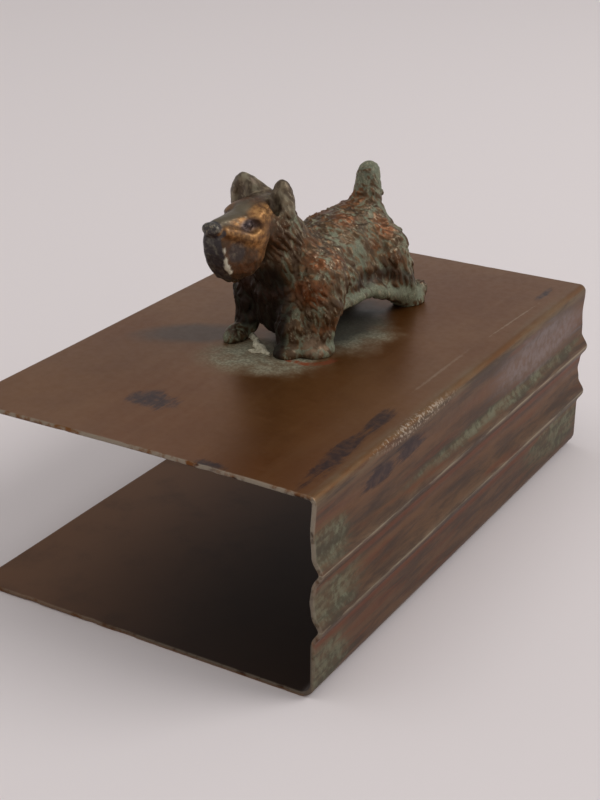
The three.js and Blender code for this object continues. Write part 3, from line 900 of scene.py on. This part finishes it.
# ------------------------------------------------------------------ looks
class Look:
    """A procedural material: short calls that add nodes and hand back their output sockets."""

    def __init__(self, name):
        self.material = bpy.data.materials.new(name)
        self.material.use_nodes = True
        self.tree = self.material.node_tree
        self.shader = self.tree.nodes["Principled BSDF"]
        place = self.add("ShaderNodeTexCoord")
        scale = self.add("ShaderNodeVectorMath", operation="SCALE")
        scale.inputs["Scale"].default_value = 1 / MM
        self.tree.links.new(place.outputs["Object"], scale.inputs[0])
        self.millimetres = scale.outputs[0]

    def add(self, kind, **settings):
        node = self.tree.nodes.new(kind)
        for key, value in settings.items():
            setattr(node, key, value)
        return node

    def feed(self, socket, value):
        """Joins a socket to another node's output, or sets it to a plain number or a hex colour."""
        if isinstance(value, bpy.types.NodeSocket):
            self.tree.links.new(value, socket)
        else:
            socket.default_value = colour(value) if isinstance(value, str) else value

    def attribute(self, name, weight=1):
        """One of the piece's painted attributes, times a weight."""
        value = self.add("ShaderNodeAttribute", attribute_name=name).outputs["Fac"]
        return value if weight == 1 else self.times(value, weight)

    def stretched(self, lengths, turn=(0, 0, 0)):
        """Places whose noise comes out longer by these ratios along axes turned from the object's."""
        node = self.add("ShaderNodeMapping", vector_type="TEXTURE")
        self.feed(node.inputs["Vector"], self.millimetres)
        node.inputs["Rotation"].default_value = turn
        node.inputs["Scale"].default_value = lengths
        return node.outputs[0]

    def noise(self, size, detail=3.0, rough=0.55, bend=0.0, where=None, seed=0):
        """Noise from about 0.2 to 0.8 whose features are about size millimetres across."""
        node = self.add("ShaderNodeTexNoise", noise_dimensions="4D")
        self.feed(node.inputs["Vector"], where or self.millimetres)
        node.inputs["W"].default_value = seed
        node.inputs["Scale"].default_value = 1 / size
        node.inputs["Detail"].default_value = detail
        node.inputs["Roughness"].default_value = rough
        node.inputs["Distortion"].default_value = bend
        return node.outputs["Fac"]

    def span(self, value, low, high, out_low=0.0, out_high=1.0):
        """Rises smoothly from out_low to out_high as the value goes from low to high."""
        node = self.add("ShaderNodeMapRange", interpolation_type="SMOOTHSTEP")
        if low > high:
            low, high, out_low, out_high = high, low, out_high, out_low
        for socket, number in zip(node.inputs, (value, low, high, out_low, out_high)):
            self.feed(socket, number)
        return node.outputs[0]

    def chain(self, operation, values):
        """Several values taken together, two by two."""
        result = values[0]
        for value in values[1:]:
            node = self.add("ShaderNodeMath", operation=operation)
            self.feed(node.inputs[0], result)
            self.feed(node.inputs[1], value)
            result = node.outputs[0]
        return result

    def times(self, *values):
        return self.chain("MULTIPLY", values)

    def plus(self, *values):
        return self.chain("ADD", values)

    def most(self, *values):
        """The greatest of several values."""
        return self.chain("MAXIMUM", values)

    def swing(self, noise, amount):
        """How far a noise is above or below its middle, times an amount."""
        return self.times(self.plus(noise, -0.5), amount)

    def mix(self, amount, a, b):
        """Colour a where the amount is 0, and b where it is 1."""
        node = self.add("ShaderNodeMix", data_type="RGBA")
        self.feed(node.inputs["Factor"], amount)
        self.feed(node.inputs[6], a)
        self.feed(node.inputs[7], b)
        return node.outputs[2]

    def blend(self, amount, a, b):
        """Number a where the amount is 0, and b where it is 1."""
        node = self.add("ShaderNodeMix", data_type="FLOAT")
        self.feed(node.inputs["Factor"], amount)
        self.feed(node.inputs[2], a)
        self.feed(node.inputs[3], b)
        return node.outputs[0]

    def place(self, axis):
        node = self.add("ShaderNodeSeparateXYZ")
        self.feed(node.inputs[0], self.millimetres)
        return node.outputs[axis]

    def mark(self, centre, radii, turn=0.0, ragged=None, amount=0.0):
        """1 in the middle of an ellipsoid and 0 outside it, its edge moved in and out by ragged noise."""
        node = self.add("ShaderNodeMapping", vector_type="TEXTURE")
        self.feed(node.inputs["Vector"], self.millimetres)
        node.inputs["Location"].default_value = centre
        node.inputs["Rotation"].default_value = (0, 0, math.radians(turn))
        node.inputs["Scale"].default_value = radii
        length = self.add("ShaderNodeVectorMath", operation="LENGTH")
        self.feed(length.inputs[0], node.outputs[0])
        away = length.outputs["Value"]
        if ragged is not None:
            away = self.plus(away, self.swing(ragged, amount))
        return self.span(away, 1.0, 0.45)

    def bump(self, height, distance, strength=1.0):
        """Height in units of distance millimetres."""
        node = self.add("ShaderNodeBump")
        self.feed(node.inputs["Height"], height)
        node.inputs["Distance"].default_value = distance * MM
        node.inputs["Strength"].default_value = strength
        self.feed(self.shader.inputs["Normal"], node.outputs[0])

    def finish(self, colour, rough, metallic):
        self.feed(self.shader.inputs["Base Color"], colour)
        self.feed(self.shader.inputs["Roughness"], rough)
        self.feed(self.shader.inputs["Metallic"], metallic)
        return self.material


def colour(code):
    """A hex colour as linear numbers."""
    parts = [int(code[i:i + 2], 16) / 255 for i in (0, 2, 4)]
    return (*[p / 12.92 if p < 0.04045 else ((p + 0.055) / 1.055) ** 2.4 for p in parts], 1.0)


# Marks on the cover as (centre, radii, turn in degrees), in millimetres.
HALO_MARKS = (
    ((-2.0, -14.5, TOP_Z), (16.5, 12.5, 3.0), 12.0),
    ((4.0, 6.0, TOP_Z), (15.5, 17.0, 3.0), -8.0),
)
# Painted shade under the dog's belly, on the upper leaf.
BELLY_SHADE_MARK = ((1.5, 9.0, TOP_Z), (13.5, 23.0, 3.0), -4.5)
CRESCENT_MARK = ((5.0, -7.2, TOP_Z), (7.6, 7.2, 3.0), -20.0)
# A stain left of the dog, darkened further as the dog's painted cast shadow.
STAIN_AND_SHADOW_MARK = ((-21.5, -10.5, TOP_Z), (17.0, 7.0, 3.0), 37.0)
SCUFF_MARKS = (
    ((-9.0, -44.3, TOP_Z), (5.6, 4.2, 3.0), 0.0),
    ((34.2, -46.0, TOP_Z), (2.6, 14.0, 3.0), 0.0),
    ((33.2, -29.0, TOP_Z), (2.0, 7.0, 3.0), 0.0),
    ((33.0, 51.0, TOP_Z), (1.6, 8.0, 3.0), 0.0),
    ((16.5, -62.5, TOP_Z), (3.6, 2.0, 3.0), 0.0),
    ((39.0, -27.0, 36.0), (3.0, 6.5, 2.6), 0.0),
    ((39.0, -40.0, 35.4), (3.0, 7.0, 2.8), 0.0),
)
SCRATCH_MARKS = (
    ((32.6, -1.0, TOP_Z), (0.45, 20.0, 3.0), 0.0),
    ((33.7, 33.0, TOP_Z), (0.3, 15.0, 3.0), -2.5),
)
PALE_SCUFF_MARK = ((39.6, -25.0, TOP_Z - 0.6), (2.6, 22.0, 2.6), 0.0)
GREEN_MARKS = (
    ((39.0, -59.0, 30.6), (4.0, 10.0, 5.5), 0.0),
    ((39.0, -60.0, 19.5), (4.0, 19.0, 5.0), 0.0),
    ((39.0, -61.0, 6.5), (4.0, 14.0, 6.0), 0.0),
    ((39.0, 50.0, 9.0), (4.0, 22.0, 6.5), 0.0),
    ((39.0, 20.0, 28.8), (4.0, 60.0, 1.7), 0.0),
)
HAZE_MARK = ((39.0, 38.0, 34.5), (4.0, 34.0, 6.0), 0.0)


def sheet_look():
    """Bronze sheet: brown and half glossy, with verdigris by the feet, a mottled spine, and painted shade
    under the dog and inside the fold.
    """
    look = Look("bronze_sheet")
    broad = look.noise(38, detail=3, bend=0.4)
    middle = look.noise(9, detail=4, rough=0.6, seed=2)
    fine = look.noise(1.6, detail=4, rough=0.65, seed=3)
    specks = look.noise(0.55, detail=2, seed=4)
    drawn = look.noise(3.0, detail=4, where=look.stretched((1, 16, 1)), seed=5)
    streaks = look.noise(3.6, detail=7, rough=0.72, where=look.stretched((1, 5.0, 0.6)), bend=0.4, seed=6)
    cloud = look.noise(5, detail=5, rough=0.62, bend=0.4, seed=13)

    warm = look.mix(look.span(broad, 0.35, 0.62), "6d4119", "754d28")
    brown = look.mix(look.span(middle, 0.3, 0.72, 0.0, 0.4), warm, "613a1b")
    skin = look.mix(look.span(drawn, 0.45, 0.75, 0.0, 0.2), brown, "83603f")

    # The spine is duller, with olive and red-brown streaks, painted highlights along the bead crests and
    # rusty lines below them.
    spine = look.attribute("spine")
    dull = look.mix(look.span(streaks, 0.38, 0.62), "46352a", "634833")
    skin = look.mix(spine, skin, dull)
    red = look.span(look.noise(4, detail=4, where=look.stretched((1, 6.5, 0.45)), seed=7), 0.54, 0.7)
    rust = look.most(look.times(red, 0.5), look.attribute("under_bead", 0.8))
    skin = look.mix(look.times(rust, spine), skin, "6b3a22")
    crest_highlight = look.times(look.attribute("bead"), look.span(streaks, 0.4, 0.6))
    skin = look.mix(look.times(crest_highlight, 0.35), skin, "94886f")
    # A thin painted highlight right along each bead's crest.
    crest_highlight_line = look.times(look.span(look.attribute("bead"), 0.8, 0.97), look.span(streaks, 0.35, 0.55))
    skin = look.mix(look.times(crest_highlight_line, 0.6), skin, "a89e86")

    # Verdigris: round the feet, on the spine's ends and along its upper bead.
    halo = look.most(*[look.mark(*mark, ragged=middle, amount=0.9) for mark in HALO_MARKS])
    belly_shade = look.mark(*BELLY_SHADE_MARK, ragged=middle, amount=0.8)
    stain_and_shadow = look.mark(*STAIN_AND_SHADOW_MARK, ragged=middle, amount=0.7)
    ends = look.most(*[look.mark(*mark, ragged=streaks, amount=1.9) for mark in GREEN_MARKS])
    mottle = look.span(look.plus(look.times(fine, 0.6), look.times(streaks, 0.4)), 0.34, 0.66)
    cloudy = look.span(cloud, 0.3, 0.66, 0.4, 0.95)
    on_top = look.times(halo, look.span(cloud, 0.34, 0.6, 0.5, 1.0))
    on_spine = look.times(ends, cloudy, look.span(mottle, 0.0, 1.0, 0.55, 0.95))
    green = look.most(on_top, on_spine)
    skin = look.mix(on_top, skin, look.mix(look.span(specks, 0.4, 0.62), "777360", "95917c"))
    skin = look.mix(on_spine, skin, look.mix(look.span(mottle, 0.2, 0.8), "565846", "747661"))
    # Painted shade: near black on the upper leaf under the dog's belly.
    skin = look.mix(look.times(belly_shade, 0.85), skin, "2b2a25")
    # Stain left of the dog, with the dog's painted cast shadow on it.
    skin = look.mix(look.times(stain_and_shadow, 0.75), skin, "453b34")
    ring = look.mark(*CRESCENT_MARK)
    before_paw = look.span(look.place(1), -6.0, -9.0)
    ring = look.times(look.span(ring, 0.0, 0.08), look.span(ring, 0.7, 0.45), before_paw)
    skin = look.mix(look.times(ring, look.span(fine, 0.3, 0.55)), skin, "8a4a2e")
    haze = look.mark(*HAZE_MARK, ragged=streaks, amount=1.2)
    haze = look.times(haze, look.span(fine, 0.35, 0.6, 0.3, 0.8))
    skin = look.mix(haze, skin, "8a7c78")

    # Dark scuffs with a purple cast, fine pale scratches and speckled wear along the fold.
    scuffs = look.most(*[look.mark(*mark, ragged=streaks, amount=3.2) for mark in SCUFF_MARKS])
    skin = look.mix(look.times(scuffs, look.span(fine, 0.3, 0.6, 0.45, 0.9)), skin, "2b1c20")
    scratches = look.most(*[look.mark(*mark, ragged=fine, amount=1.6) for mark in SCRATCH_MARKS])
    skin = look.mix(look.times(scratches, look.span(streaks, 0.4, 0.6, 0.1, 0.45)), skin, "a08c74")
    speckled = look.plus(look.times(specks, 0.7), look.times(streaks, 0.3))
    pale = look.mark(*PALE_SCUFF_MARK, ragged=streaks, amount=1.5)
    pale = look.times(pale, look.span(speckled, 0.5, 0.58))
    along_fold = look.times(look.attribute("fold"), look.span(streaks, 0.4, 0.62, 0.1, 0.45))
    skin = look.mix(along_fold, skin, "7d7058")
    skin = look.mix(look.times(pale, 0.7), skin, "b3a594")

    # Painted shade on the inner faces: darker deeper into the channel towards the spine, lighter towards the
    # free edges.
    inside = look.attribute("inside")
    to_light = look.span(look.place(0), 15.0, -38.0)
    inner_shade = look.mix(to_light, "35241a", "6b4a32")
    inner_shade = look.mix(look.span(middle, 0.45, 0.7, 0.0, 0.3), inner_shade, "2c1d15")
    skin = look.mix(inside, skin, inner_shade)

    worn = look.times(look.attribute("worn"), look.span(look.noise(2.6, detail=4, seed=12), 0.36, 0.52))
    worn = look.times(worn, look.span(look.place(2), 5.0, 40.0, 0.35, 0.9))
    skin = look.mix(worn, skin, "8f8474")

    rough = look.blend(look.span(fine, 0.3, 0.7), 0.3, 0.38)
    rough = look.blend(look.times(spine, 0.6), rough, 0.6)
    rough = look.blend(look.most(green, haze), rough, 0.75)
    rough = look.blend(inside, rough, 0.5)
    dull_metal = look.most(look.times(green, 0.85), look.times(worn, 0.6), look.times(spine, 0.35))
    metal = look.blend(look.most(dull_metal, belly_shade), 0.65, 0.05)
    look.feed(look.shader.inputs["Specular IOR Level"], 0.25)
    pits = look.plus(look.times(scuffs, -0.8), look.times(pale, 0.8))
    look.bump(look.plus(look.times(fine, 0.5), look.times(middle, 0.6), pits), 0.03, 0.4)
    return look.finish(skin, rough, metal)


def casting_look():
    """Cast bronze: olive-brown hair, verdigris between the locks, a dark nose with painted shade on the
    muzzle's front, rubbed gold brows and cheeks that are partly painted highlight, and painted shade in
    hollows, on the chest and between the legs.
    """
    look = Look("cast_bronze")
    middle = look.noise(5, detail=4, rough=0.6, bend=0.3, seed=1)
    fine = look.noise(1.1, detail=4, rough=0.65, seed=2)
    grain = look.noise(0.35, detail=3, rough=0.7, seed=3)
    patches = look.noise(7, detail=3, rough=0.5, seed=4)
    down_the_coat = look.stretched((1, 1, 3.5), (math.radians(28), 0, 0))
    hairs = look.noise(1.5, detail=3, rough=0.55, bend=0.4, where=down_the_coat, seed=5)
    flecks = look.noise(0.6, detail=3, rough=0.6, where=down_the_coat, seed=6)
    face = look.attribute("face")

    brown = look.mix(look.span(middle, 0.35, 0.65), "553f28", "72583a")
    brown = look.mix(look.span(hairs, 0.6, 0.4, 0.0, 0.6), brown, "3c2e22")
    rust = look.span(look.plus(patches, look.swing(hairs, 0.6)), 0.52, 0.66)
    rubbed = look.times(look.attribute("clean"), look.span(hairs, 0.35, 0.6, 0.4, 0.95))
    rust = look.most(look.times(rust, 0.6), rubbed)
    brown = look.mix(rust, brown, look.mix(look.span(fine, 0.35, 0.65), "673a1c", "824f2b"))

    # Verdigris gathers between the locks, and most on the rump, the coat's lower edge and the tail.
    places = (("rear", 0.2), ("tail", 0.25), ("hem", 0.5), ("clean", -0.2), ("toe", 0.5))
    region = look.plus(*[look.attribute(*place) for place in places], look.swing(patches, -0.8))
    tint = look.plus(look.attribute("groove", 0.32), look.swing(hairs, 1.7), look.swing(flecks, 0.35))
    green = look.span(look.plus(tint, region), 0.14, 0.52)
    green = look.times(green, look.span(face, 0.0, 1.0, 1.0, 0.25))
    patina = look.mix(look.span(grain, 0.35, 0.65), "5f634f", "81886f")
    patina = look.mix(look.span(middle, 0.45, 0.65, 0.0, 0.6), patina, "64705f")
    # Painted highlight: tan on the near front leg.
    painted_leg_highlight = look.times(look.attribute("painted_leg_highlight"), look.span(hairs, 0.35, 0.6, 0.2, 0.9))
    brown = look.mix(painted_leg_highlight, brown, "86705a")
    skin = look.mix(look.times(green, 0.82), brown, patina)
    # Painted shade in the hollow above the coat's lower edge.
    skin = look.mix(look.attribute("hem_hollow_shade", 0.65), skin, "403832")

    # Gold on the face: partly rubbed bronze, partly painted highlight.
    gilt = look.plus(look.times(middle, 0.55), look.times(fine, 0.45))
    rubbed_gold_and_highlight = look.times(look.attribute("rubbed_gold_and_highlight"), look.span(gilt, 0.4, 0.56, 0.4, 1.0))
    cheek = look.mix(look.span(fine, 0.4, 0.65), "402c1c", "5c3c24")
    skin = look.mix(look.times(face, 0.8), skin, cheek)
    bronze_gold = look.mix(look.span(fine, 0.35, 0.65), "784e26", "a67a48")
    skin = look.mix(rubbed_gold_and_highlight, skin, bronze_gold)
    skin = look.mix(look.attribute("bridge", 0.8), skin, "6b6250")
    ear = look.mix(look.span(hairs, 0.4, 0.65), "53473a", "847963")
    skin = look.mix(look.attribute("ears", 0.8), skin, ear)
    # Painted shade: near black on the chest and between the legs.
    skin = look.mix(look.attribute("chest_shade", 0.88), skin, "1c1412")
    black = look.mix(look.span(fine, 0.45, 0.7), "383436", "6a685e")
    # The nose and snout side are dark patina; the muzzle's front faces get the same dark as painted shade.
    nose_patina_and_front_shade = look.span(look.plus(look.attribute("dark_nose_and_front_shade"), look.swing(middle, 0.8)), 0.25, 0.75)
    skin = look.mix(look.times(nose_patina_and_front_shade, 0.9), skin, black)
    eye = look.mix(look.span(fine, 0.45, 0.6), "2c2226", "564a4a")
    skin = look.mix(look.attribute("eye", 0.9), skin, eye)
    heel = look.times(look.attribute("heel"), look.span(middle, 0.35, 0.6, 0.3, 0.8))
    skin = look.mix(heel, skin, "583824")
    # Painted shade: darker where other parts of the casting stand close, except on the ears.
    off_ears = look.span(look.attribute("ears"), 0.0, 1.0, 1.0, 0.4)
    hollow = look.times(look.span(look.attribute("broad"), 0.65, 0.2), off_ears)
    skin = look.mix(look.times(hollow, 0.5), skin, "231b15")
    shaded = look.most(look.attribute("chest_shade"), hollow)
    # Pale flecks on the most open crests of the locks: partly wear, partly painted highlight, left off where
    # shade is painted.
    bold = look.span(look.attribute("bold"), 0.93, 1.0)
    worn = look.times(bold, look.span(flecks, 0.52, 0.64), look.span(shaded, 0.5, 0.0))
    skin = look.mix(look.times(worn, 0.5), skin, "a89a80")
    skin = look.mix(look.attribute("streak"), skin, "c4bda8")

    rough = look.blend(green, 0.42, 0.7)
    matt = look.most(green, look.attribute("streak"), look.times(shaded, 0.6))
    metal = look.blend(matt, 0.65, 0.1)
    look.feed(look.shader.inputs["Specular IOR Level"], look.blend(shaded, 0.5, 0.12))
    dents = look.times(face, look.plus(middle, fine), 0.8)
    look.bump(look.plus(hairs, look.times(grain, 0.25), dents), 0.14, 0.7)
    return look.finish(skin, rough, metal)


def plaster_look():
    look = Look("plaster")
    fine = look.noise(0.7, detail=4, rough=0.7, seed=1)
    skin = look.mix(look.span(fine, 0.35, 0.65), "9a927a", "cfc8b0")
    look.bump(fine, 0.1, 0.7)
    return look.finish(skin, 0.85, 0.0)


def brass_look():
    look = Look("fixing_brass")
    middle = look.noise(2.0, detail=4, seed=1)
    fine = look.noise(0.4, detail=3, where=look.stretched((1, 1, 3.3)), seed=2)
    skin = look.mix(look.span(middle, 0.35, 0.68), "8a6a3c", "4c3822")
    rough = look.blend(look.span(fine, 0.3, 0.7), 0.35, 0.55)
    look.bump(fine, 0.03, 0.5)
    return look.finish(skin, rough, 0.9)


def wear(piece, node, look):
    """Gives a piece its look in its one material slot, hangs it on the root body and hides its CAD node."""
    piece.data.materials.clear()
    piece.data.materials.append(look)
    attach(piece, "root")
    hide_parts(node)


# ------------------------------------------------------------------ stage, in metres
HORIZON_GLOW = 0.68
ZENITH_GLOW = 0.3
ZENITH_LEVEL = 0.9  # the sine of the height above the horizon at which the glow is the zenith's
ROOM_WHITE = (1.0, 0.972, 0.962, 1)
FLOOR_RADIUS = 1.6
LENS = 69.505
CAMERA_PLACE = (0.15572, -0.26687, 0.1635)
CAMERA_TURN = (66.1267, -0.3068, 30.6713)  # degrees: tilt up from straight down, roll and heading


def area_light(name, place, aim, size, watts):
    """A round white light, so wide, at a place and turned to its aim."""
    data = bpy.data.lights.new(name, "AREA")
    data.shape = "DISK"
    data.size = size
    data.energy = watts
    light = bpy.data.objects.new(name, data)
    bpy.context.scene.collection.objects.link(light)
    light.location = place
    light.rotation_euler = (Vector(aim) - Vector(place)).to_track_quat("-Z", "Y").to_euler()
    return light


def build_world():
    """A soft white room, brightest at the level of the horizon and dimmer overhead."""
    world = bpy.data.worlds.new("studio")
    world.use_nodes = True
    nodes, links = world.node_tree.nodes, world.node_tree.links
    background = nodes["Background"]
    background.inputs["Color"].default_value = ROOM_WHITE
    direction = nodes.new("ShaderNodeTexCoord")
    parts = nodes.new("ShaderNodeSeparateXYZ")
    level = nodes.new("ShaderNodeMapRange")
    level.inputs["From Max"].default_value = ZENITH_LEVEL
    level.inputs["To Min"].default_value = HORIZON_GLOW
    level.inputs["To Max"].default_value = ZENITH_GLOW
    links.new(direction.outputs["Generated"], parts.inputs[0])
    links.new(parts.outputs["Z"], level.inputs["Value"])
    links.new(level.outputs[0], background.inputs["Strength"])
    bpy.context.scene.world = world


def build_stage():
    bpy.ops.mesh.primitive_circle_add(vertices=96, radius=FLOOR_RADIUS, fill_type="NGON", location=(0, 0, 0))
    floor = bpy.context.object
    floor.name = "floor"
    look = Look("paper")
    floor.data.materials.append(look.finish("e8e0e0", 0.9, 0.0))
    build_world()
    area_light("window", (0.9, 0.5, 1.0), (0, 0, 0.05), 0.9, 8.0)
    area_light("overhead", (-0.4, -0.3, 2.0), (0, 0, 0.03), 1.8, 8.5)


def build_camera():
    """The pitch, heading and lens of a close three-quarter view from in front of the spine."""
    data = bpy.data.cameras.new("camera")
    data.lens = LENS
    data.clip_start = 0.02
    camera = bpy.data.objects.new("camera", data)
    bpy.context.scene.collection.objects.link(camera)
    camera.location = CAMERA_PLACE
    camera.rotation_euler = [math.radians(angle) for angle in CAMERA_TURN]
    bpy.context.scene.camera = camera


def main():
    sheet, cast, brass = sheet_look(), casting_look(), brass_look()
    wear(build_cover(), "folded_cover", sheet)
    wear(build_dog(), "terrier_casting", cast)
    for place in ("front", "rear"):
        screw, washer = f"{place}_screw", f"{place}_washer"
        wear(build_screw(screw, f"slotted_screw_{place}"), screw, brass)
        wear(build_washer(washer, f"plain_washer_{place}"), washer, brass)
    plaster = build_residue()
    plaster.data.materials.append(plaster_look())
    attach(plaster, "root")
    build_stage()
    build_camera()
    bpy.context.scene.view_settings.view_transform = "Standard"


main()
